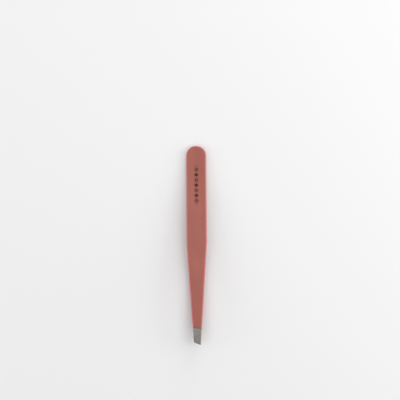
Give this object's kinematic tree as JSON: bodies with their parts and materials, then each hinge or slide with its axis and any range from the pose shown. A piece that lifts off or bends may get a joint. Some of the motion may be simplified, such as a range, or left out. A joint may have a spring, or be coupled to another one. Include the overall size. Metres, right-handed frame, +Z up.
{
  "type": "slant tweezers",
  "caption": "Slant-tip tweezers: sprung steel arms welded at a rounded head, powder-coated rose, with bare slanted gripping tips.",
  "frame": {"origin": "on the ground, under the middle of the tweezers' overall box, as they lie on a broad side", "axes": "+Y along the tweezers from the tips towards the rounded head, +X across the arms towards the longer corner of the slanted tips, +Z up through the two arms"},
  "size_m": [0.0098, 0.095, 0.0114],
  "materials": {
    "bare_steel": "finely ground satin stainless steel",
    "rose_coat": "satin rose powder coat with a fine metallic grain"
  },
  "bodies": {
    "head": {"upper_head": "bare_steel", "lower_head": "bare_steel", "weld_nuggets": "bare_steel", "head_coat": "rose_coat"},
    "upper_arm": {"upper_blade": "bare_steel", "upper_coat": "rose_coat"},
    "lower_arm": {"lower_blade": "bare_steel", "lower_coat": "rose_coat"}
  },
  "joints": [
    {"name": "upper_arm_flex", "type": "hinge", "parent": "head", "child": "upper_arm", "pos_m": [0, 0.02753, 0.0032], "axis": [1, 0, 0], "range_deg": [0, 2.9], "stiffness_Nm_per_rad": 5.2},
    {"name": "lower_arm_flex", "type": "hinge", "parent": "head", "child": "lower_arm", "pos_m": [0, 0.0274, 0.00125], "axis": [-1, 0, 0], "range_deg": [0, 2.9], "stiffness_Nm_per_rad": 5.2}
  ]
}
